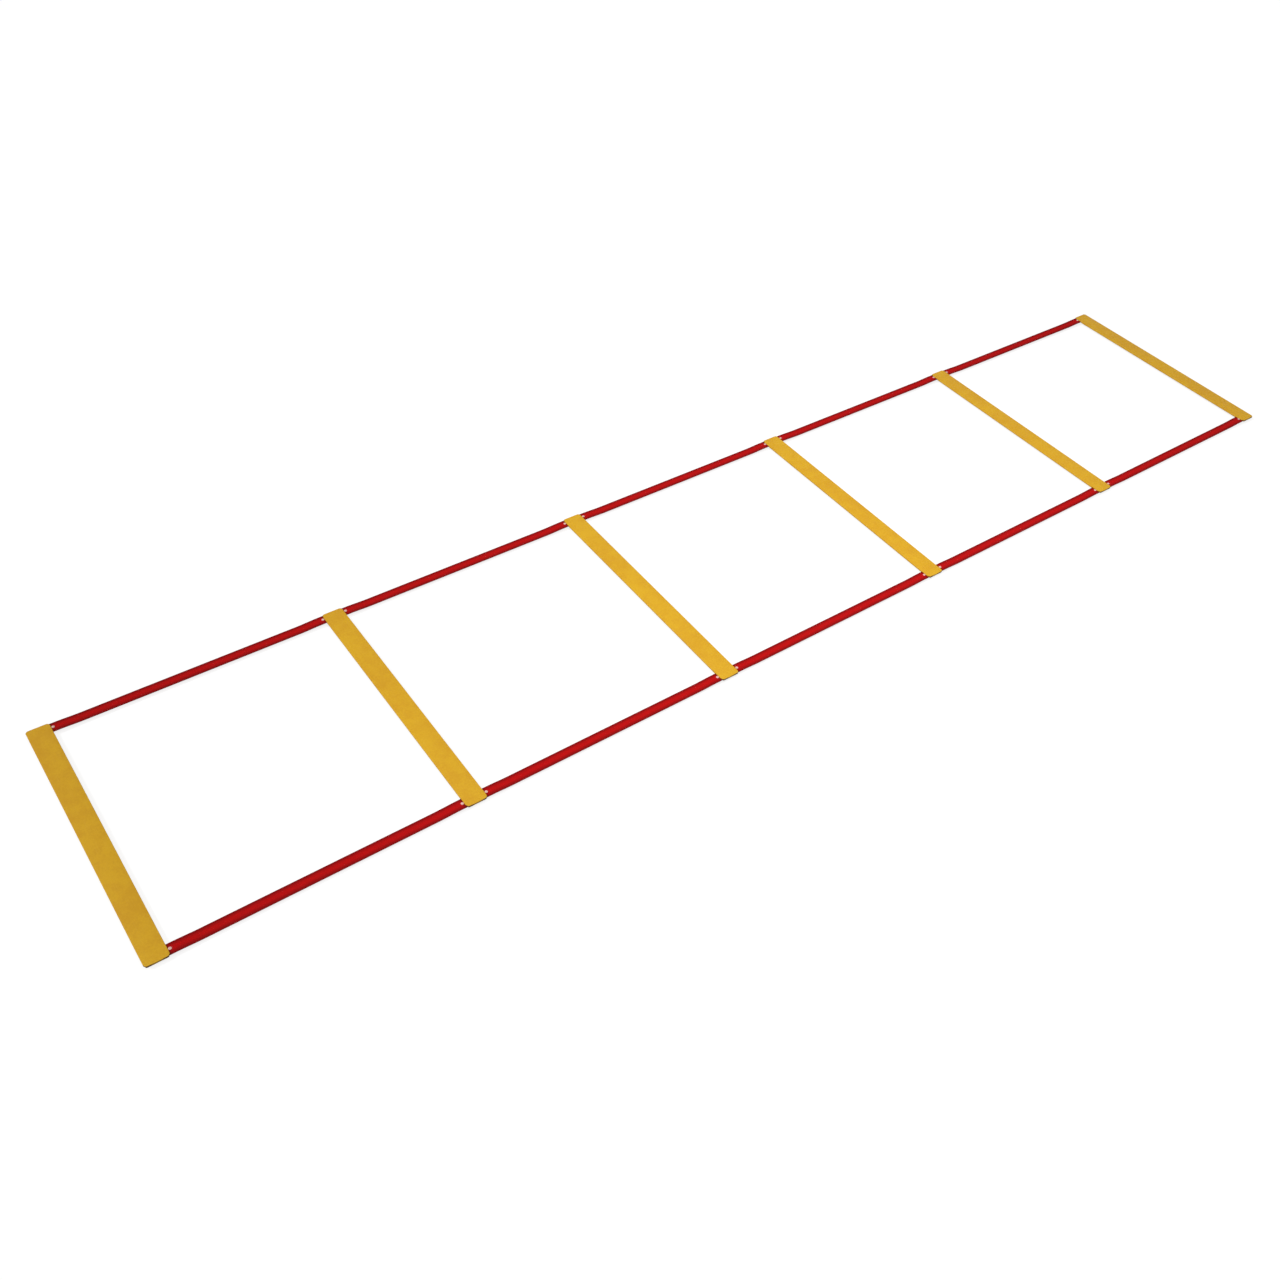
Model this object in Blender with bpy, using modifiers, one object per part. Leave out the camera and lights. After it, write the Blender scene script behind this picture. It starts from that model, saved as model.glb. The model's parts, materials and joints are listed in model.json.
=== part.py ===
"""Agility ladder: six flat plastic rungs on two woven side straps, kept in place by stop rivets.

The ladder lies flat. +X runs along it from rung 1 to rung 6, +Y is its left side as seen from rung 1,
+Z is up, and the origin is on the ground under its middle. It folds like a concertina: each bay folds
half way between its two rungs, in turn over the tops and over the undersides of the rungs.
"""

import math

import bmesh
import bpy
from mathutils import Matrix

# Sizes that repeat along the ladder, in metres
RUNG_COUNT = 6
RUNG_PITCH = 0.500
STRAP_SPACING = 0.470
FOLD_GAP = 0.0010

# Rung: a flat moulded slat with a strap channel across the underside of each end
RUNG_WIDTH = 0.037
RUNG_SKIN = 0.0009
RUNG_CORNER = 0.005
RUNG_EDGE = 0.0008
END_WALL = 0.0010
CHANNEL_PLAY = 0.0003
BAR_LENGTH = 0.014
BAR_EDGE = 0.0003

# Strap: flat webbing that rises from the ground to pass over the bars of the rungs
STRAP_WIDTH = 0.019
STRAP_THICK = 0.0010
STRAP_LEVEL = 0.003
STRAP_RAMP = 0.040
HEM_LENGTH = 0.0085

# Stop rivet: a round head on top of the webbing, a shank through it and a flat foot under it
STOP_PLAY = 0.0003
HEAD_WIDTH = 0.0050
HEAD_RIM = 0.0003
HEAD_DOME = 0.0006
SHANK_WIDTH = 0.0024
FOOT_WIDTH = 0.0046

# Play between neighbours, and how far a cutter runs past what it cuts
CLEARANCE = 0.0003
OVERRUN = 0.0020
WELD = 0.00001

# Steps on round stretches
CORNER_STEPS = 6
EDGE_STEPS = 2
BAR_STEPS = 3
RAMP_STEPS = 6
HEM_STEPS = 8
DOME_STEPS = 4
RIVET_STEPS = 16

# Levels above the ground. The hem's lower layer lies beside the bar, so the two are as thick.
BAR_TOP = STRAP_THICK
STRAP_UNDER = BAR_TOP + CLEARANCE
STRAP_MIDDLE = STRAP_UNDER + STRAP_THICK / 2
STRAP_OVER = STRAP_UNDER + STRAP_THICK
CHANNEL_TOP = STRAP_OVER + CLEARANCE
RUNG_TOP = CHANNEL_TOP + RUNG_SKIN

# Places along a section, from the middle of its rung
CHANNEL_WIDTH = STRAP_WIDTH + 2 * CHANNEL_PLAY
RUNG_LENGTH = STRAP_SPACING + CHANNEL_WIDTH + 2 * END_WALL
RIVET_AT = RUNG_WIDTH / 2 + STOP_PLAY + HEAD_WIDTH / 2
LEVEL_END = RIVET_AT + HEAD_WIDTH / 2 + STRAP_LEVEL
STRAP_END = RUNG_PITCH / 2 - CLEARANCE / 2
SIDES = {"left": STRAP_SPACING / 2, "right": -STRAP_SPACING / 2}

ROUND_EDGE = math.radians(40)


def clear_scene():
    for obj in list(bpy.data.objects):
        bpy.data.objects.remove(obj, do_unlink=True)


def new_collection(name, hidden=False):
    collection = bpy.data.collections.new(name)
    collection.hide_render = hidden
    bpy.context.scene.collection.children.link(collection)
    return collection


def new_material(name, color, roughness):
    material = bpy.data.materials.new(name)
    material.use_nodes = True
    shader = material.node_tree.nodes["Principled BSDF"]
    shader.inputs["Base Color"].default_value = (*color, 1.0)
    shader.inputs["Roughness"].default_value = roughness
    shader.inputs["Metallic"].default_value = 0.0
    material.diffuse_color = (*color, 1.0)
    return material


def new_object(name, mesh, collection):
    obj = bpy.data.objects.new(name, mesh)
    collection.objects.link(obj)
    return obj


def finished_mesh(obj):
    """The object's mesh with its modifiers applied. The object and its cutters are removed."""
    bpy.context.view_layer.update()
    graph = bpy.context.evaluated_depsgraph_get()
    mesh = bpy.data.meshes.new_from_object(obj.evaluated_get(graph))
    mesh.name = obj.name
    cutters = [m.object for m in obj.modifiers if m.type == "BOOLEAN"]
    for used in [obj, *cutters]:
        bpy.data.objects.remove(used, do_unlink=True)
    mesh.shade_smooth()
    mesh.set_sharp_from_angle(angle=ROUND_EDGE)
    return mesh


def cut(obj, cutter):
    cutter.display_type = "WIRE"
    cutter.hide_render = True
    boolean = obj.modifiers.new("cut " + cutter.name, "BOOLEAN")
    boolean.operation = "DIFFERENCE"
    boolean.solver = "EXACT"
    boolean.object = cutter


def prism_mesh(name, outline, width):
    """A closed outline in X and Z, drawn out along Y to a width centred on zero."""
    curve = bpy.data.curves.new(name, "CURVE")
    curve.dimensions = "2D"
    curve.fill_mode = "BOTH"
    curve.extrude = width / 2
    spline = curve.splines.new("POLY")
    spline.points.add(len(outline) - 1)
    for point, (x, z) in zip(spline.points, outline):
        point.co = (x, z, 0.0, 1.0)
    spline.use_cyclic_u = True
    drawn = bpy.data.objects.new(name, curve)
    bpy.context.scene.collection.objects.link(drawn)
    bpy.context.view_layer.update()
    graph = bpy.context.evaluated_depsgraph_get()
    mesh = bpy.data.meshes.new_from_object(drawn.evaluated_get(graph))
    bpy.data.objects.remove(drawn, do_unlink=True)
    mesh.transform(Matrix.Rotation(math.pi / 2, 4, "X"))
    shape = bmesh.new()
    shape.from_mesh(mesh)
    bmesh.ops.remove_doubles(shape, verts=shape.verts, dist=WELD)
    bmesh.ops.recalc_face_normals(shape, faces=shape.faces)
    shape.to_mesh(mesh)
    shape.free()
    return mesh


def arc(center, radius, start, end, steps):
    """Points on an arc in X and Z, its ends included, between two angles in radians."""
    angles = [start + (end - start) * i / steps for i in range(steps + 1)]
    return [
        (center[0] + radius * math.cos(a), center[1] + radius * math.sin(a))
        for a in angles
    ]


def channel_outline():
    """The space that a rung leaves for its strap, seen along the rung: all but the bar and the skin."""
    reach = RUNG_WIDTH / 2 + OVERRUN
    bar = BAR_LENGTH / 2
    edge = BAR_TOP - BAR_EDGE
    left = arc((BAR_EDGE - bar, edge), BAR_EDGE, math.pi, math.pi / 2, BAR_STEPS)
    right = arc((bar - BAR_EDGE, edge), BAR_EDGE, math.pi / 2, 0.0, BAR_STEPS)
    return [
        (-reach, -OVERRUN),
        (-bar, -OVERRUN),
        *left,
        *right,
        (bar, -OVERRUN),
        (reach, -OVERRUN),
        (reach, CHANNEL_TOP),
        (-reach, CHANNEL_TOP),
    ]


def rung_mesh(cutters):
    """A slat with rounded corners and edges, and its two strap channels cut out."""
    shape = bmesh.new()
    bmesh.ops.create_cube(shape, size=1.0)
    bmesh.ops.scale(shape, vec=(RUNG_WIDTH, RUNG_LENGTH, RUNG_TOP), verts=shape.verts)
    bmesh.ops.translate(shape, vec=(0, 0, RUNG_TOP / 2), verts=shape.verts)
    upright = [e for e in shape.edges if (e.verts[0].co.xy - e.verts[1].co.xy).length < WELD]
    bmesh.ops.bevel(
        shape,
        geom=upright,
        offset=RUNG_CORNER,
        segments=CORNER_STEPS,
        profile=0.5,
        affect="EDGES",
        material=-1,
    )
    rims = [e for e in shape.edges if abs(e.verts[0].co.z - e.verts[1].co.z) < WELD]
    bmesh.ops.bevel(
        shape,
        geom=rims,
        offset=RUNG_EDGE,
        segments=EDGE_STEPS,
        profile=0.5,
        affect="EDGES",
        material=-1,
    )
    blank = bpy.data.meshes.new("rung")
    shape.to_mesh(blank)
    shape.free()
    slat = new_object("rung", blank, cutters)
    channel = prism_mesh("strap channel", channel_outline(), CHANNEL_WIDTH)
    for side, y in SIDES.items():
        cutter = new_object(side + " channel", channel, cutters)
        cutter.location = (0, y, 0)
        cut(slat, cutter)
    return finished_mesh(slat)


def ramp_points(sign):
    """The strap's middle line from the ground, at a fold, up to the level of the rung's channel."""
    foot = LEVEL_END + STRAP_RAMP
    low = STRAP_THICK / 2
    points = [(sign * STRAP_END, low)]
    for i in range(RAMP_STEPS + 1):
        share = i / RAMP_STEPS
        rise = (1 - math.cos(math.pi * share)) / 2
        points.append((sign * (foot - share * STRAP_RAMP), low + rise * (STRAP_MIDDLE - low)))
    return points


def through_path():
    """A stretch that passes a rung, from the fold before it to the fold after it."""
    return ramp_points(-1) + ramp_points(1)[::-1]


def hemmed_path():
    """A stretch that ends under the first rung, where it folds back under itself as far as the bar."""
    turn = (STRAP_THICK + CLEARANCE) / 2
    center = (turn + STRAP_THICK / 2 - BAR_LENGTH / 2 - HEM_LENGTH, STRAP_MIDDLE - turn)
    fold = arc(center, turn, math.pi / 2, 3 * math.pi / 2, HEM_STEPS)
    tail = (-BAR_LENGTH / 2 - CLEARANCE, fold[-1][1])
    return ramp_points(1) + fold + [tail]


def strap_mesh(name, path, rivets_at, cutters):
    """Webbing along a path in X and Z, with a hole for the shank of each rivet."""
    shape = bmesh.new()
    line = [shape.verts.new((x, -STRAP_WIDTH / 2, z)) for x, z in path]
    edges = [shape.edges.new(pair) for pair in zip(line, line[1:])]
    made = bmesh.ops.extrude_edge_only(shape, edges=edges)
    far = [v for v in made["geom"] if isinstance(v, bmesh.types.BMVert)]
    bmesh.ops.translate(shape, vec=(0, STRAP_WIDTH, 0), verts=far)
    bmesh.ops.recalc_face_normals(shape, faces=shape.faces)
    sheet = bpy.data.meshes.new(name)
    shape.to_mesh(sheet)
    shape.free()
    strap = new_object(name, sheet, cutters)
    wall = strap.modifiers.new("webbing", "SOLIDIFY")
    wall.thickness = STRAP_THICK
    wall.offset = 0.0
    wall.use_even_offset = True
    for x in rivets_at:
        punch = bmesh.new()
        bmesh.ops.create_cone(
            punch,
            cap_ends=True,
            segments=RIVET_STEPS,
            radius1=SHANK_WIDTH / 2 + CLEARANCE,
            radius2=SHANK_WIDTH / 2 + CLEARANCE,
            depth=RUNG_TOP + 2 * OVERRUN,
        )
        hole = bpy.data.meshes.new("rivet hole")
        punch.to_mesh(hole)
        punch.free()
        cutter = new_object("rivet hole", hole, cutters)
        cutter.location = (x, 0, RUNG_TOP / 2)
        cut(strap, cutter)
    return finished_mesh(strap)


def rivet_mesh(cutters):
    """A turned rivet: domed head over the webbing, shank through it, flat foot under it."""
    head = HEAD_WIDTH / 2
    shank = SHANK_WIDTH / 2
    foot = FOOT_WIDTH / 2
    head_under = STRAP_OVER + CLEARANCE
    rim = head_under + HEAD_RIM
    foot_over = STRAP_UNDER - CLEARANCE
    dome = [
        (head * math.sin(a), rim + HEAD_DOME * math.cos(a))
        for a in (math.pi / 2 * i / DOME_STEPS for i in range(DOME_STEPS + 1))
    ]
    profile = dome + [
        (head, head_under),
        (shank, head_under),
        (shank, foot_over),
        (foot, foot_over),
        (foot, CLEARANCE),
        (0.0, CLEARANCE),
    ]
    shape = bmesh.new()
    line = [shape.verts.new((r, 0, z)) for r, z in profile]
    for pair in zip(line, line[1:]):
        shape.edges.new(pair)
    outline = bpy.data.meshes.new("stop rivet")
    shape.to_mesh(outline)
    shape.free()
    rivet = new_object("stop rivet", outline, cutters)
    turning = rivet.modifiers.new("turning", "SCREW")
    turning.steps = RIVET_STEPS
    turning.render_steps = RIVET_STEPS
    turning.use_merge_vertices = True
    turning.merge_threshold = WELD
    return finished_mesh(rivet)


def fold_axis(bay):
    """Where a bay folds: odd bays just over the rungs' tops, even bays just under the ground."""
    x = (bay - RUNG_COUNT / 2) * RUNG_PITCH
    z = RUNG_TOP + FOLD_GAP / 2 if bay % 2 else -FOLD_GAP / 2
    return (x, 0, z)


def add_section_frames(collection):
    """One empty for each rung and its stretch of strap; all but the first sit on the fold before it."""
    frames = []
    for number in range(1, RUNG_COUNT + 1):
        frame = bpy.data.objects.new("section_%d" % number, None)
        frame.empty_display_size = RUNG_WIDTH
        collection.objects.link(frame)
        frame.location = fold_axis(number - 1) if frames else (0, 0, 0)
        bpy.context.view_layer.update()
        if frames:
            frame.parent = frames[-1]
            frame.matrix_parent_inverse = frames[-1].matrix_world.inverted()
        frames.append(frame)
    bpy.context.view_layer.update()
    return frames


def add_piece(name, mesh, frame, at, turn=0.0):
    """A named piece of the ladder, carried by its section's frame."""
    piece = new_object(name, mesh, LADDER)
    piece.location = at
    piece.rotation_euler = (0, 0, turn)
    piece.parent = frame
    piece.matrix_parent_inverse = frame.matrix_world.inverted()
    return piece


clear_scene()
LADDER = new_collection("agility ladder")
CUTTERS = new_collection("cutters", hidden=True)

YELLOW_PLASTIC = new_material("matte yellow plastic", (0.69, 0.40, 0.05), 0.6)
RED_WEBBING = new_material("red webbing", (0.44, 0.009, 0.009), 0.85)
WHITE_PLASTIC = new_material("white plastic", (0.85, 0.72, 0.68), 0.45)

RUNG = rung_mesh(CUTTERS)
RIVET = rivet_mesh(CUTTERS)
THROUGH_STRAP = strap_mesh("strap past a rung", through_path(), (-RIVET_AT, RIVET_AT), CUTTERS)
HEMMED_STRAP = strap_mesh("strap with its hem", hemmed_path(), (RIVET_AT,), CUTTERS)

RUNG.materials.append(YELLOW_PLASTIC)
RIVET.materials.append(WHITE_PLASTIC)
THROUGH_STRAP.materials.append(RED_WEBBING)
HEMMED_STRAP.materials.append(RED_WEBBING)

for index, section in enumerate(add_section_frames(LADDER)):
    number = index + 1
    first = number == 1
    last = number == RUNG_COUNT
    rung_x = (index - (RUNG_COUNT - 1) / 2) * RUNG_PITCH
    add_piece("rung_%d" % number, RUNG, section, (rung_x, 0, 0))
    for side, y in SIDES.items():
        webbing = HEMMED_STRAP if first or last else THROUGH_STRAP
        half_turn = math.pi if last else 0.0
        add_piece("strap_%s_%d" % (side, number), webbing, section, (rung_x, y, 0), half_turn)
        if not first:
            add_piece("stop_%s_%d_near" % (side, number), RIVET, section, (rung_x - RIVET_AT, y, 0))
        if not last:
            add_piece("stop_%s_%d_far" % (side, number), RIVET, section, (rung_x + RIVET_AT, y, 0))
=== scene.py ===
"""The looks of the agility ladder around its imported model: slats, webbing, hems, rivets, floor and light."""

import json
import math

import bmesh
import bpy
from mathutils import Matrix, Vector


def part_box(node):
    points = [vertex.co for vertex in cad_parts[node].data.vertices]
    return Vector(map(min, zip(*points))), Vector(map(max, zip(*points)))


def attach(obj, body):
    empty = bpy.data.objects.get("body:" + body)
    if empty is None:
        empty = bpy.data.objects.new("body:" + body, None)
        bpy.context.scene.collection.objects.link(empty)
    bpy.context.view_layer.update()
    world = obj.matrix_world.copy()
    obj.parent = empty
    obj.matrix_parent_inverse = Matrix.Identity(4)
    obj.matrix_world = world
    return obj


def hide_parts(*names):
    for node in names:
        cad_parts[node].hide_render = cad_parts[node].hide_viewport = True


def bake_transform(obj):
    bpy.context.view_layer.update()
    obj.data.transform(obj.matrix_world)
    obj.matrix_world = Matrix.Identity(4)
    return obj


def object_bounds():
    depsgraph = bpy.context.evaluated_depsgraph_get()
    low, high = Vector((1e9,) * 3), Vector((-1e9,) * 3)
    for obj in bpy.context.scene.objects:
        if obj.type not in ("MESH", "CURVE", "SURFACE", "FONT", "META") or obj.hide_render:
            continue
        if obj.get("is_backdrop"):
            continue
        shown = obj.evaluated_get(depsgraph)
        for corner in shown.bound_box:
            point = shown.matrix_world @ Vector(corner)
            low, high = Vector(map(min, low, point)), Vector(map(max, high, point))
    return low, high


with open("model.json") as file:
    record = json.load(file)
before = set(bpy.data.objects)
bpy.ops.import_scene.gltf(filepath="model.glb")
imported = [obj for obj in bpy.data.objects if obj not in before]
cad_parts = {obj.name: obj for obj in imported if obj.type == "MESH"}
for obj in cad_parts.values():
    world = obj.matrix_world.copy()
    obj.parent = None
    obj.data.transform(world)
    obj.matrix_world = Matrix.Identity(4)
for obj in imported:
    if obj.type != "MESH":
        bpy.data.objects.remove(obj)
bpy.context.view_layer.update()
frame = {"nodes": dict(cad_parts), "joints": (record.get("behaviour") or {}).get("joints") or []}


# Rungs
# Six flat slats moulded in matte ochre plastic, one a section. Each end has a channel across its underside,
# which the webbing passes through, and a moulded bar that closes the channel from below. The faces of the
# ends are rough, and they are painted dark brown as painted shade, most at the corners: a guess at the dark
# line that the photograph shows there.

CORNER_RADIUS = 0.0050
CORNER_STEPS = 12
RIM_RADIUS = 0.0008
RIM_STEPS = 4
SKIN = 0.0009
BAR_LENGTH = 0.0140
BAR_THICK = 0.0010
BAR_ROUND = 0.0003
BAR_STEPS = 4
CHANNEL_PLAY = 0.0003
CUT_PAST = 0.0020
WELD = 0.00001
SHARP_ANGLE = 35

OCHRE = (0.835, 0.470, 0.014, 1.0)
OCHRE_WARM = (0.765, 0.395, 0.011, 1.0)
OCHRE_RUBBED = (0.840, 0.520, 0.060, 1.0)
# Painted shade on the slat ends: its dark brown, how far in it reaches, how much lighter its middle is, and
# how streaked it is
OCHRE_END_SHADE = (0.095, 0.030, 0.006, 1.0)
OCHRE_ROUGHNESS = 0.44
END_BAND_DEPTH = 0.0009
END_SHADE_MIDDLE_WIDTH = 0.0110
END_SHADE_MIDDLE_SHARE = 0.45
STREAK_SHARE = 0.20
EDGE_WEAR = 0.0012
RUBBED_SHARE = 0.30
SCUFFED_SHARE = 0.35
CLOUD_SCALE = 9.0
PATCH_SCALE = 55.0
SPECK_SCALE = 300.0
GRAIN_SCALE = 1100.0
GRAIN_DEPTH = 0.00022
SCUFF_SCALE = (850.0, 26.0, 850.0)
SAW_MARK_SCALE = (900.0, 900.0, 450.0)

rung_count = sum(name.startswith("rung_") for name in frame["nodes"])
rung_low, rung_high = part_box("rung_1")
rung_size = rung_high - rung_low
rung_middle = (rung_low + rung_high) / 2
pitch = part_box("rung_2")[0].x - rung_low.x
webbing_low, webbing_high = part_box("strap_left_2")
webbing_width = webbing_high.y - webbing_low.y
webbing_side = (webbing_low.y + webbing_high.y) / 2
SIDES = {"left": webbing_side, "right": -webbing_side}


class Wire:
    """A shader node's output. Sums on it add Math nodes, and node() adds any other node to its tree."""

    def __init__(self, tree, socket=None):
        self.tree = tree
        self.socket = socket

    def node(self, kind, settings=None, inputs=None, output=0):
        made = self.tree.nodes.new("ShaderNode" + kind)
        for name, value in (settings or {}).items():
            setattr(made, name, value)
        for name, value in (inputs or {}).items():
            if isinstance(value, Wire):
                self.tree.links.new(value.socket, made.inputs[name])
            else:
                made.inputs[name].default_value = value
        return Wire(self.tree, made.outputs[output])

    def math(self, operation, *values):
        inputs = dict(enumerate((self, *values)))
        return self.node("Math", {"operation": operation}, inputs)

    def __add__(self, other):
        return self.math("ADD", other)

    def __sub__(self, other):
        return self.math("SUBTRACT", other)

    def __mul__(self, other):
        return self.math("MULTIPLY", other)

    def __truediv__(self, other):
        return self.math("DIVIDE", other)

    def __mod__(self, other):
        return self.math("FLOORED_MODULO", other)

    def __abs__(self):
        return self.math("ABSOLUTE")

    def __rsub__(self, other):
        return self * -1.0 + other

    __radd__ = __add__
    __rmul__ = __mul__

    def rise(self, start, end):
        """0 below start, 1 above end, and a smooth step between them."""
        inputs = {"Value": self, "From Min": start, "From Max": end}
        return self.node("MapRange", {"interpolation_type": "SMOOTHSTEP"}, inputs)

    def mix(self, color, other):
        """Colour where this is 0, and other where it is 1."""
        return self.node("Mix", {"data_type": "RGBA"}, {0: self, 6: color, 7: other}, output=2)

    def scaled(self, factors):
        """This place with its X, Y and Z multiplied by these factors, to stretch a pattern."""
        return self.node("VectorMath", {"operation": "MULTIPLY"}, {0: self, 1: factors})

    def axes(self, names):
        """The named axes of this place, one wire each."""
        return [self.node("SeparateXYZ", inputs={"Vector": self}, output=name) for name in names]

    def noise(self, place, scale, detail=2.0):
        """Soft random spots between 0 and 1, finer where the scale is larger."""
        inputs = {"Vector": place, "Scale": scale, "Detail": detail, "Roughness": 0.55}
        return self.node("TexNoise", inputs=inputs)

    def bump(self, height, depth, strength=1.0):
        """The normal of a surface with this relief, whose height of 1 stands for a depth in metres."""
        inputs = {"Strength": strength, "Distance": depth, "Height": height}
        return self.node("Bump", inputs=inputs)


def new_finish(name, constants):
    """A Principled material with these constants, a wire to start its nodes, and what feeds its shader."""
    material = bpy.data.materials.new(name)
    material.use_nodes = True
    shader = material.node_tree.nodes["Principled BSDF"]
    for socket, value in constants.items():
        shader.inputs[socket].default_value = value
    start = Wire(material.node_tree)

    def feed(socket, wire):
        material.node_tree.links.new(wire.socket, shader.inputs[socket])

    return material, start, feed


def plain_mesh(name, shape):
    """A bmesh as a mesh. The bmesh is used up."""
    mesh = bpy.data.meshes.new(name)
    shape.to_mesh(mesh)
    shape.free()
    return mesh


def finished_mesh(name, shape, modifiers=()):
    """A bmesh as a smooth mesh, with these modifiers applied, which are (type, settings) pairs."""
    holder = bpy.data.objects.new(name, plain_mesh(name, shape))
    bpy.context.scene.collection.objects.link(holder)
    for kind, settings in modifiers:
        modifier = holder.modifiers.new(kind, kind)
        for setting, value in settings.items():
            setattr(modifier, setting, value)
    bpy.context.view_layer.update()
    graph = bpy.context.evaluated_depsgraph_get()
    done = bpy.data.meshes.new_from_object(holder.evaluated_get(graph))
    bpy.data.objects.remove(holder, do_unlink=True)
    done.shade_smooth()
    done.set_sharp_from_angle(angle=math.radians(SHARP_ANGLE))
    return done


def new_piece(name, mesh, place, material):
    """A copy of a mesh as an object of its own. The matrix of its place goes into its vertices."""
    own = mesh.copy()
    own.name = name
    own.transform(place)
    own.materials.clear()
    own.materials.append(material)
    piece = bpy.data.objects.new(name, own)
    bpy.context.scene.collection.objects.link(piece)
    return piece


def round_edges(shape, edges, radius, steps):
    bmesh.ops.bevel(
        shape, geom=edges, offset=radius, segments=steps, profile=0.5, affect="EDGES", material=-1
    )


def quarter_round(center, radius, start, steps):
    """Points on a quarter circle in X and Z that turns clockwise from an angle in degrees."""
    angles = [math.radians(start - 90 * i / steps) for i in range(steps + 1)]
    return [(center[0] + radius * math.cos(a), center[1] + radius * math.sin(a)) for a in angles]


def channel_cutter():
    """What a rung leaves free for the webbing: a slot over the bar, open below on both sides of it."""
    reach = rung_size.x / 2 + CUT_PAST
    bar = BAR_LENGTH / 2
    crown = BAR_THICK - BAR_ROUND
    outline = [(-reach, -CUT_PAST), (-bar, -CUT_PAST)]
    outline += quarter_round((BAR_ROUND - bar, crown), BAR_ROUND, 180, BAR_STEPS)
    outline += quarter_round((bar - BAR_ROUND, crown), BAR_ROUND, 90, BAR_STEPS)
    outline += [(bar, -CUT_PAST), (reach, -CUT_PAST)]
    outline += [(reach, rung_size.z - SKIN), (-reach, rung_size.z - SKIN)]
    width = webbing_width + 2 * CHANNEL_PLAY
    shape = bmesh.new()
    face = shape.faces.new([shape.verts.new((x, -width / 2, z)) for x, z in outline])
    drawn = bmesh.ops.extrude_face_region(shape, geom=[face])
    far = [v for v in drawn["geom"] if isinstance(v, bmesh.types.BMVert)]
    bmesh.ops.translate(shape, vec=(0, width, 0), verts=far)
    bmesh.ops.recalc_face_normals(shape, faces=shape.faces)
    return plain_mesh("channel", shape)


slat = bmesh.new()
bmesh.ops.create_cube(slat, size=1.0)
bmesh.ops.scale(slat, vec=rung_size, verts=slat.verts)
bmesh.ops.translate(slat, vec=(0, 0, rung_size.z / 2), verts=slat.verts)
upright = [e for e in slat.edges if (e.verts[0].co.xy - e.verts[1].co.xy).length < WELD]
round_edges(slat, upright, CORNER_RADIUS, CORNER_STEPS)
rims = [e for e in slat.edges if abs(e.verts[0].co.z - e.verts[1].co.z) < WELD]
round_edges(slat, rims, RIM_RADIUS, RIM_STEPS)
channel = channel_cutter()
cutters = []
for y in SIDES.values():
    cutter = bpy.data.objects.new("channel", channel)
    cutter.location.y = y
    bpy.context.scene.collection.objects.link(cutter)
    cutters.append(cutter)
rung_mesh = finished_mesh("rung", slat, [("BOOLEAN", {"object": cutter}) for cutter in cutters])
for cutter in cutters:
    bpy.data.objects.remove(cutter, do_unlink=True)

ochre, start, feed = new_finish("ochre plastic", {"Specular IOR Level": 0.30})
place = start.node("TexCoord", output="Object")
x, y = place.axes("XY")
across = ((x / pitch) % 1.0 - 0.5) * pitch
to_side = rung_size.x / 2 - abs(across)
to_end = rung_size.y / 2 - abs(y)
clouds = start.noise(place, CLOUD_SCALE)
patches = start.noise(place, PATCH_SCALE)
specks = start.noise(place, SPECK_SCALE)
grain = start.noise(place, GRAIN_SCALE)
scuffs = start.noise(place.scaled(SCUFF_SCALE), 1.0, 4.0)
saw_marks = start.noise(place.scaled(SAW_MARK_SCALE), 1.0)

# The moulded skin has two ochres in clouds, patches and specks, and is paler where it is rubbed or scuffed
tone = (patches * 0.35 + clouds * 0.35 + specks * 0.3).rise(0.38, 0.62)
at_edge = 1.0 - to_side.math("MINIMUM", to_end).rise(EDGE_WEAR / 6, EDGE_WEAR)
rub_wear_and_shade = at_edge * patches.rise(0.40, 0.60)
worn = (rub_wear_and_shade * RUBBED_SHARE).math("MAXIMUM", scuffs.rise(0.58, 0.74) * SCUFFED_SHARE)
plain = worn.mix(tone.mix(OCHRE_WARM, OCHRE), OCHRE_RUBBED)

# The painted shade is a thin band inside the outline of each end, followed round the two corners, and the same
# band carries the saw marks in relief. The painted shade is lighter in the middle of the end and is streaked
# by the saw marks.
to_corner = ((CORNER_RADIUS - side).math("MAXIMUM", 0.0) for side in (to_side, to_end))
corner_x, corner_y = (gap * gap for gap in to_corner)
inset = CORNER_RADIUS - (corner_x + corner_y).math("SQRT")
at_end = 1.0 - to_end.rise(CORNER_RADIUS * 0.7, CORNER_RADIUS * 1.3)
shaded_sawn_end = (1.0 - inset.rise(END_BAND_DEPTH / 3, END_BAND_DEPTH)) * at_end
off_middle = abs(across).rise(END_SHADE_MIDDLE_WIDTH / 3, END_SHADE_MIDDLE_WIDTH)
corner_shade = off_middle * (1.0 - END_SHADE_MIDDLE_SHARE) + END_SHADE_MIDDLE_SHARE
streaks = saw_marks.rise(0.30, 0.70) * STREAK_SHARE + (1.0 - STREAK_SHARE)

# Painted shade: the band at each end is painted dark brown over the ochre
feed("Base Color", (shaded_sawn_end * corner_shade * streaks).mix(plain, OCHRE_END_SHADE))
feed("Roughness", OCHRE_ROUGHNESS + clouds * 0.10 + grain * 0.06 + scuffs * 0.10)
feed("Normal", start.bump(grain + scuffs * 0.4 + shaded_sawn_end * saw_marks, GRAIN_DEPTH))

for number in range(1, rung_count + 1):
    name = "rung_%d" % number
    low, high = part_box(name)
    spot = Matrix.Translation(((low.x + high.x) / 2, (low.y + high.y) / 2, low.z))
    rung = new_piece("slat_%d" % number, rung_mesh, spot, ochre)
    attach(rung, "section_%d" % number)
    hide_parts(name)


# Side webbing
# Two lengths of woven red webbing, ribbed along their length, with close selvedges. Each is cut flat, passes
# over the bars of all six rungs and is folded under itself into a hem at the first and the last one.

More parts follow.
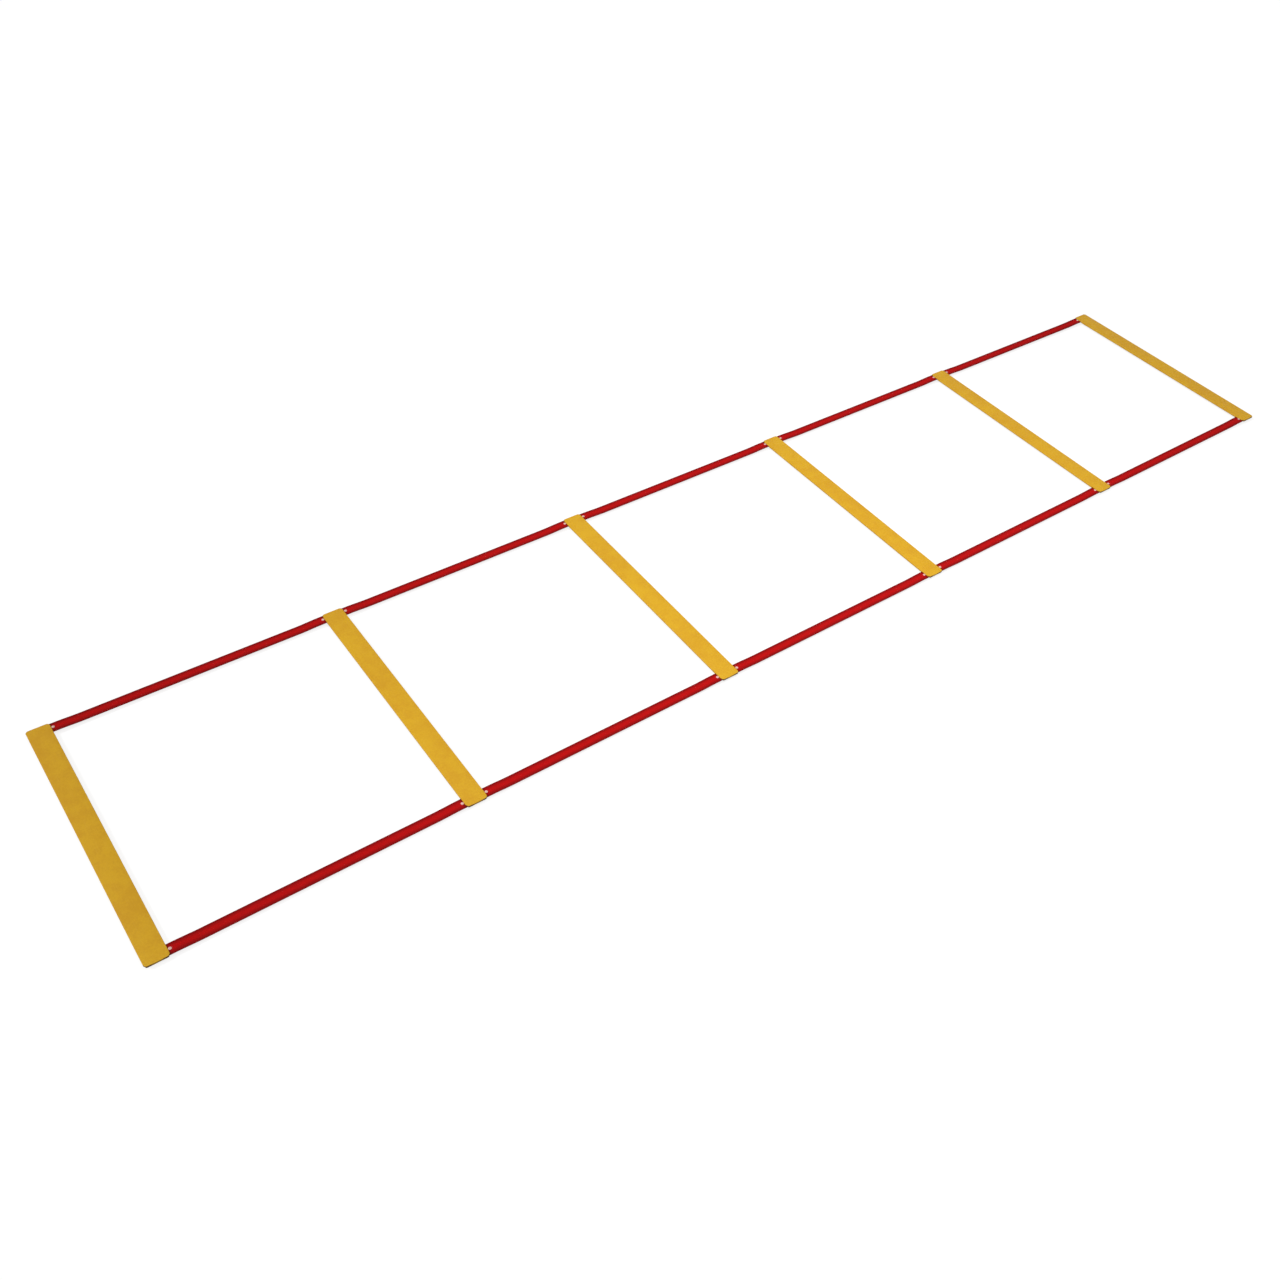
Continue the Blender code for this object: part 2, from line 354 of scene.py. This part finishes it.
WEBBING_THICK = 0.0010
WEBBING_EDGE = 0.0004
EDGE_STEPS = 3
RIB_COUNT = 12
RIB_STEPS = 4
RIB_DEPTH = 0.00007
SELVEDGE = 0.0010
MIDDLE_BAND = 0.0020
LEVEL_PAST_STOP = 0.0030
RAMP_LENGTH = 0.0400
WEBBING_STEP = 0.0050
FOLD_STEP = 0.00025
FOLD_REACH = 0.0045
OVER_REACH = 0.0030
UNDER_REACH = 0.0020
HEM_GAP = 0.0003
HEM_STEPS = 14

STITCH_LENGTH = 0.0016
SLANT_SHARE = 0.55
RED = (0.750, 0.0062, 0.0062, 1.0)
# Painted shade in the gaps of the weave, also reached by the random dye tone
RED_SHADE_AND_DYE = (0.310, 0.0030, 0.0034, 1.0)
# Darker selvedges, with painted shade towards the edges of the webbing
RED_SELVEDGE_AND_SHADE = (0.230, 0.0040, 0.0050, 1.0)
# Painted shade on the webbing beside the slats, and how far it reaches
RED_RUNG_SHADE = (0.120, 0.0060, 0.0050, 1.0)
RED_ROUGHNESS = 0.75
GROOVE_SHADE_SHARE = 0.75
DYE_SHARE = 0.12
SELVEDGE_AND_SHADE_SHARE = 0.85
RUNG_SHADE_SHARE = 0.60
RUNG_SHADE_REACH = 0.0050
DYE_SCALE = 90.0
FLUFF_SCALE = 2600.0
WEAVE_DEPTH = 0.00022

webbing_over = webbing_high.z - WEBBING_THICK / 2
webbing_ground = webbing_low.z + WEBBING_THICK / 2
level_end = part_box("stop_left_1_far")[1].x - rung_middle.x + LEVEL_PAST_STOP
rib_pitch = (webbing_width - 2 * SELVEDGE) / RIB_COUNT

# Past the middle of an end rung the webbing runs out to its fold, turns under, and ends short of the bar
hem_radius = (WEBBING_THICK + HEM_GAP) / 2
hem_fold = rung_middle.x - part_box("strap_left_1")[0].x - hem_radius - WEBBING_THICK / 2
hem_turn = math.pi * hem_radius
hem_cut = hem_fold + hem_turn + hem_fold - BAR_LENGTH / 2 - HEM_GAP


def cut_webbing(start, end, fine_places):
    """A flat length of webbing along X, ribbed on both faces. Its UV map is in metres on the flat cut."""
    strip = bmesh.new()
    bmesh.ops.create_cube(strip, size=1.0)
    bmesh.ops.scale(strip, vec=(end - start, webbing_width, WEBBING_THICK), verts=strip.verts)
    bmesh.ops.translate(strip, vec=((start + end) / 2, 0, 0), verts=strip.verts)
    corners = [e for e in strip.edges if abs(e.verts[0].co.x - e.verts[1].co.x) > WELD]
    round_edges(strip, corners, WEBBING_EDGE, EDGE_STEPS)
    wide = [e for e in strip.edges if abs(e.verts[0].co.y - e.verts[1].co.y) > webbing_width / 2]
    bmesh.ops.subdivide_edges(strip, edges=wide, cuts=RIB_COUNT * RIB_STEPS - 1, use_grid_fill=True)
    for vert in strip.verts:
        crest = abs(math.cos(math.pi * (vert.co.y / rib_pitch + 0.5 * (RIB_COUNT % 2 + 1))))
        if abs(vert.co.y) < webbing_width / 2 - WEBBING_EDGE:
            vert.co.z -= math.copysign(RIB_DEPTH * (1 - crest), vert.co.z)
    along = [e for e in strip.edges if abs(e.verts[0].co.x - e.verts[1].co.x) > WELD]
    steps = round((end - start) / WEBBING_STEP)
    bmesh.ops.subdivide_edges(strip, edges=along, cuts=steps - 1, use_grid_fill=True)
    for x in fine_places:
        parts = [*strip.verts, *strip.edges, *strip.faces]
        bmesh.ops.bisect_plane(strip, geom=parts, dist=WELD, plane_co=(x, 0, 0), plane_no=(1, 0, 0))
    flat = strip.loops.layers.uv.new("cut")
    for face in strip.faces:
        for loop in face.loops:
            loop[flat].uv = loop.vert.co.xy
    return strip


def lie(vert):
    """Moves a point of the flat cut, counted from the middle of a rung, to where the webbing lies."""
    if vert.co.x >= 0:
        reach = min(vert.co.x, pitch - vert.co.x)
        share = min(max((reach - level_end) / RAMP_LENGTH, 0.0), 1.0)
        fall = (1 - math.cos(math.pi * share)) / 2
        vert.co.z += webbing_over + fall * (webbing_ground - webbing_over)
        return
    past = -vert.co.x - hem_fold
    turn = min(max(past / hem_radius, 0.0), math.pi)
    out = hem_fold + min(past, 0.0) - max(past - hem_turn, 0.0)
    radius = hem_radius + vert.co.z
    vert.co.x = -out - radius * math.sin(turn)
    vert.co.z = webbing_over - hem_radius + radius * math.cos(turn)


def webbing_mesh(name, start):
    """Webbing from the middle of one rung to the middle of the next, or from its hem if start is below 0."""
    fold_steps = round(2 * FOLD_REACH / FOLD_STEP)
    fine = [pitch / 2 - FOLD_REACH + FOLD_STEP * i for i in range(fold_steps + 1)]
    if start < 0:
        fine += [-hem_fold - hem_turn * i / HEM_STEPS for i in range(HEM_STEPS + 1)]
    strip = cut_webbing(start, pitch, fine)
    for vert in strip.verts:
        lie(vert)
    return finished_mesh(name, strip)


through_mesh = webbing_mesh("webbing", 0.0)
hemmed_mesh = webbing_mesh("hemmed webbing", -hem_cut)

red, start, feed = new_finish("red webbing", {"Specular IOR Level": 0.10})
cut = start.node("UVMap", {"uv_map": "cut"})
along, across = cut.axes("XY")

# Each rib is a column of slanting stitches, and the next one slants the other way. The powers below 1 keep
# yarns and ribs plump, with narrow gaps between them.
rib = across / rib_pitch + 0.5 * (RIB_COUNT % 2)
column = rib.math("FLOOR")
beside = rib - column - 0.5
slant = (column % 2.0) * 2.0 - 1.0
stitch = along / STITCH_LENGTH + slant * beside * SLANT_SHARE
yarn = abs((stitch * math.pi).math("SINE"))
crown = 1.0 - beside * beside * 4.0
relief = yarn.math("POWER", 0.6) * crown.math("POWER", 0.5)

# The red is painted brightest along the middle and darker towards the edges, partly as darker selvedges and
# partly as painted shade. Painted shade also darkens it between the stitches, mixed with a random dye tone,
# and beside the slats.
# Partly darker selvedges and partly painted shade, from 1 mm off the middle out to the edges
edge = abs(across).rise(MIDDLE_BAND / 2, webbing_width / 2 - SELVEDGE / 2)
tone = start.noise(cut, DYE_SCALE).rise(0.35, 0.75)
fluff = start.noise(cut, FLUFF_SCALE)
# Painted shade: the gaps between yarns and ribs are painted darker, mixed with a random dye tone
groove_shade_and_dye = (1.0 - relief) * GROOVE_SHADE_SHARE + tone * DYE_SHARE
to_rung = abs((along / pitch + 0.5) % 1.0 - 0.5) * pitch
# Painted shade: the webbing is painted darker within a few millimetres of each slat, where the slat shades it
rub_wear_and_shade = 1.0 - to_rung.rise(rung_size.x / 2, rung_size.x / 2 + RUNG_SHADE_REACH)
woven = (edge * SELVEDGE_AND_SHADE_SHARE).mix(groove_shade_and_dye.mix(RED, RED_SHADE_AND_DYE), RED_SELVEDGE_AND_SHADE)
feed("Base Color", (rub_wear_and_shade * RUNG_SHADE_SHARE).mix(woven, RED_RUNG_SHADE))
feed("Roughness", RED_ROUGHNESS + fluff * 0.2)
feed("Normal", start.bump(relief + fluff * 0.25, WEAVE_DEPTH, 0.9))

# Each side has one piece a bay, from rung to rung, as every bay of the ladder bends by itself. The pieces are
# not attached to the sections here, and their fold ends are worked out but not used.
for side, y in SIDES.items():
    for bay in range(1, rung_count):
        last = bay == rung_count - 1
        hemmed = last or bay == 1
        x = rung_middle.x + (bay if last else bay - 1) * pitch
        turn = Matrix.Rotation(math.pi if last else 0.0, 4, "Z")
        spot = Matrix.Translation((x, y, 0)) @ turn
        name = "webbing_%s_%d" % (side, bay)
        webbing = new_piece(name, hemmed_mesh if hemmed else through_mesh, spot, red)
        fold = rung_middle.x + (bay - 0.5) * pitch
        reach = OVER_REACH if bay % 2 else UNDER_REACH
        ends = [("section_%d" % bay, fold - reach), ("section_%d" % (bay + 1), fold + reach)]
        # A half turn goes round +Y from the first body, so a bay that folds over starts at its far end
        if bay % 2:
            ends.reverse()
        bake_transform(webbing)
        nodes = ["strap_%s_%d" % (side, bay)] + ["strap_%s_%d" % (side, bay + 1)] * last
        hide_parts(*nodes)


# Hem stitches
# Two rows of dark red thread through both layers of each hem, across the webbing. Every stitch is a short
# spindle that dips into the webbing at its two ends, on the lower side and on the upper one.

STITCH_ROWS = (-0.0130, -0.0095)
STITCHES_A_ROW = 7
STITCH_GAP = 0.0003
THREAD_WIDTH = 0.0005
THREAD_PROUD = 0.0001
THREAD_SIDES = 8
THREAD_RINGS = 6
STITCH_MARGIN = 0.0012
THREAD_DARK = (0.240, 0.0060, 0.0060, 1.0)
THREAD_LIGHT = (0.420, 0.0100, 0.0090, 1.0)
THREAD_ROUGHNESS = 0.55
TWIST_SCALE = 1800.0
TWIST_DEPTH = 0.00005

stitch_room = (webbing_width - 2 * STITCH_MARGIN) / STITCHES_A_ROW
stitch_size = (THREAD_WIDTH, stitch_room - STITCH_GAP, THREAD_WIDTH)
sunk = THREAD_WIDTH / 2 - THREAD_PROUD

shape = bmesh.new()
for x in STITCH_ROWS:
    for i in range(STITCHES_A_ROW):
        y = (i - (STITCHES_A_ROW - 1) / 2) * stitch_room
        for z in (sunk, webbing_high.z - sunk):
            spot = Matrix.Translation((x, y, z)) @ Matrix.Diagonal((*stitch_size, 1.0))
            bmesh.ops.create_uvsphere(
                shape, u_segments=THREAD_SIDES, v_segments=THREAD_RINGS, radius=0.5, matrix=spot
            )
stitch_mesh = finished_mesh("stitches", shape)

thread, start, feed = new_finish("sewing thread", {"Specular IOR Level": 0.25})
place = start.node("TexCoord", output="Object")
twist = start.noise(place, TWIST_SCALE)
feed("Base Color", twist.rise(0.35, 0.65).mix(THREAD_DARK, THREAD_LIGHT))
feed("Roughness", THREAD_ROUGHNESS + twist * 0.2)
feed("Normal", start.bump(twist, TWIST_DEPTH, 0.6))

for side, y in SIDES.items():
    for number in (1, rung_count):
        turn = Matrix.Rotation(math.pi if number == rung_count else 0.0, 4, "Z")
        spot = Matrix.Translation((rung_middle.x + (number - 1) * pitch, y, 0)) @ turn
        stitches = new_piece("hem_stitches_%s_%d" % (side, number), stitch_mesh, spot, thread)
        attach(stitches, "section_%d" % number)


# Stop rivets
# Twenty round rivets of off-white plastic, set through the webbing so that no rung can slide: on both sides
# of the middle rungs, and on the inner side of the two end ones. The head is domed, and a flat foot holds it
# from below.

RIVET_STEPS = 40
HEAD_ROUND = 0.00030
HEAD_STEPS = 10
SHANK_RADIUS = 0.0012
FOOT_RADIUS = 0.0023
RIVET_GAP = 0.0003
WHITE = (0.920, 0.540, 0.480, 1.0)
WHITE_DULL = (0.820, 0.440, 0.380, 1.0)
WHITE_ROUGHNESS = 0.36
DUST_SCALE = 700.0

head_low, head_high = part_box("stop_left_1_far")
head_radius = (head_high.x - head_low.x) / 2
head_under = webbing_high.z + RIVET_GAP
dome = head_high.z - head_under - HEAD_ROUND

# Half of the rivet's section, from the top of its head down to the middle of its foot
shape = bmesh.new()
outline = [(0.0, head_high.z)]
for i in range(1, HEAD_STEPS + 1):
    angle = math.pi / 2 * i / HEAD_STEPS
    outline.append((head_radius * math.sin(angle), head_under + HEAD_ROUND + dome * math.cos(angle)))
outline += [
    (head_radius - HEAD_ROUND / 3, head_under),
    (SHANK_RADIUS, head_under),
    (SHANK_RADIUS, webbing_high.z - WEBBING_THICK - RIVET_GAP),
    (FOOT_RADIUS, webbing_high.z - WEBBING_THICK - RIVET_GAP),
    (FOOT_RADIUS, head_low.z + HEAD_ROUND / 2),
    (FOOT_RADIUS - HEAD_ROUND / 2, head_low.z),
    (0.0, head_low.z),
]
line = [shape.verts.new((r, 0, z)) for r, z in outline]
edges = [shape.edges.new(pair) for pair in zip(line, line[1:])]
bmesh.ops.spin(
    shape,
    geom=line + edges,
    cent=(0, 0, 0),
    axis=(0, 0, 1),
    dvec=(0, 0, 0),
    angle=2 * math.pi,
    steps=RIVET_STEPS,
    use_merge=True,
    use_duplicate=False,
)
bmesh.ops.remove_doubles(shape, verts=shape.verts, dist=WELD)
bmesh.ops.recalc_face_normals(shape, faces=shape.faces)
rivet_mesh = finished_mesh("rivet", shape)

white, start, feed = new_finish("off-white plastic", {"Specular IOR Level": 0.35})
place = start.node("TexCoord", output="Object")
dust = start.noise(place, DUST_SCALE, 3.0)
feed("Base Color", dust.rise(0.50, 0.75).mix(WHITE, WHITE_DULL))
feed("Roughness", WHITE_ROUGHNESS + dust * 0.2)

for node in sorted(name for name in frame["nodes"] if name.startswith("stop_")):
    low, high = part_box(node)
    spot = Matrix.Translation(((low.x + high.x) / 2, (low.y + high.y) / 2, 0))
    rivet = new_piece(node.replace("stop", "rivet"), rivet_mesh, spot, white)
    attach(rivet, "section_" + node.split("_")[2])
    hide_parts(node)


# Floor
# A wide plain pale floor, just below where a bay lies that is folded under the others. The camera sees it
# white, with a faint soft shadow of the ladder.

FLOOR_SIZE = 40.0
FLOOR_GAP = 0.0003
FLOOR_PALE = (0.50, 0.50, 0.50, 1.0)
FLOOR_SEEN = (0.30, 0.30, 0.30, 1.0)
FLOOR_GLOW = (0.83, 0.83, 0.83, 1.0)
NO_GLOW = (0.0, 0.0, 0.0, 1.0)


def seen_rays(start):
    """1 for what the camera sees, straight or in gloss or through something clear, and 0 for other light."""
    camera_ray = start.node("LightPath", output="Is Camera Ray")
    outputs = camera_ray.socket.node.outputs
    glossy_ray = Wire(start.tree, outputs["Is Glossy Ray"])
    clear_ray = Wire(start.tree, outputs["Is Transmission Ray"])
    return camera_ray.math("MAXIMUM", glossy_ray).math("MAXIMUM", clear_ray)


shape = bmesh.new()
bmesh.ops.create_grid(shape, x_segments=1, y_segments=1, size=FLOOR_SIZE / 2)
fold_level = min(joint["pos_m"][2] for joint in frame["joints"])
floor_level = 2 * fold_level - rung_high.z - FLOOR_GAP
bmesh.ops.translate(shape, vec=(0, 0, floor_level), verts=shape.verts)
floor_mesh = plain_mesh("floor", shape)

matte = {"Roughness": 0.9, "Specular IOR Level": 0.0, "Emission Strength": 1.0}
pale, start, feed = new_finish("pale floor", matte)
seen = seen_rays(start)
feed("Base Color", seen.mix(FLOOR_PALE, FLOOR_SEEN))
feed("Emission Color", seen.mix(NO_GLOW, FLOOR_GLOW))
floor = new_piece("floor", floor_mesh, Matrix.Identity(4), pale)
floor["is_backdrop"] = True


# Light
# An even pale sky, a soft sun from the upper left, and a wide soft pool of light over the right side of the
# middle rungs, which fades towards the ends of the ladder. Together they come to about 1 in the middle. The
# sky is seen white, as the floor is, so that no horizon shows.

SKY_STRENGTH = 0.30
SUN_FROM = (-3.4, 1.6, 3.6)
SUN_STRENGTH = 1.36
SUN_SPREAD = 14.0
POOL_FROM = (0.0, -0.6, 3.0)
POOL_POWER = 145.0
POOL_CONE = 62.0
POOL_SOFTNESS = 0.5

world = bpy.data.worlds.new("sky")
bpy.context.scene.world = world
world.use_nodes = True
background = world.node_tree.nodes["Background"]
background.inputs["Color"].default_value = (1.0, 1.0, 1.0, 1.0)
strength = seen_rays(Wire(world.node_tree)) * (1.0 - SKY_STRENGTH) + SKY_STRENGTH
world.node_tree.links.new(strength.socket, background.inputs["Strength"])


def hang(lamp_data, place, direction):
    """A lamp at this place that shines in this direction."""
    lamp = bpy.data.objects.new(lamp_data.name, lamp_data)
    lamp.location = place
    lamp.rotation_euler = Vector(direction).to_track_quat("-Z", "Y").to_euler()
    bpy.context.scene.collection.objects.link(lamp)


sun = bpy.data.lights.new("sun", "SUN")
sun.energy = SUN_STRENGTH
sun.angle = math.radians(SUN_SPREAD)
hang(sun, SUN_FROM, -Vector(SUN_FROM))

pool = bpy.data.lights.new("pool", "SPOT")
pool.energy = POOL_POWER
pool.spot_size = math.radians(POOL_CONE)
pool.spot_blend = 1.0
pool.shadow_soft_size = POOL_SOFTNESS
hang(pool, POOL_FROM, (0, 0, -1))


# Camera
# Where the photograph was taken from: at eye level beyond the near corner, looking down along the ladder.
# Its place and angles are fitted to where the rungs and the webbing cross in the photograph.

CAMERA_PLACE = (-1.355, -1.295, 1.580)
CAMERA_HEADING = 40.4
CAMERA_DOWN = 44.98
CAMERA_ROLL = 6.25
CAMERA_LENS = 36.0
CAMERA_SENSOR = 36.0

lens = bpy.data.cameras.new("camera")
lens.lens = CAMERA_LENS
lens.sensor_width = CAMERA_SENSOR
camera = bpy.data.objects.new("camera", lens)
heading = Matrix.Rotation(-math.radians(CAMERA_HEADING), 4, "Z")
tilt = Matrix.Rotation(math.radians(90 - CAMERA_DOWN), 4, "X")
roll = Matrix.Rotation(math.radians(CAMERA_ROLL), 4, "Z")
camera.matrix_world = Matrix.Translation(CAMERA_PLACE) @ heading @ tilt @ roll
bpy.context.scene.collection.objects.link(camera)
bpy.context.scene.camera = camera

bpy.context.scene.view_settings.view_transform = "Standard"

low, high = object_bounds()
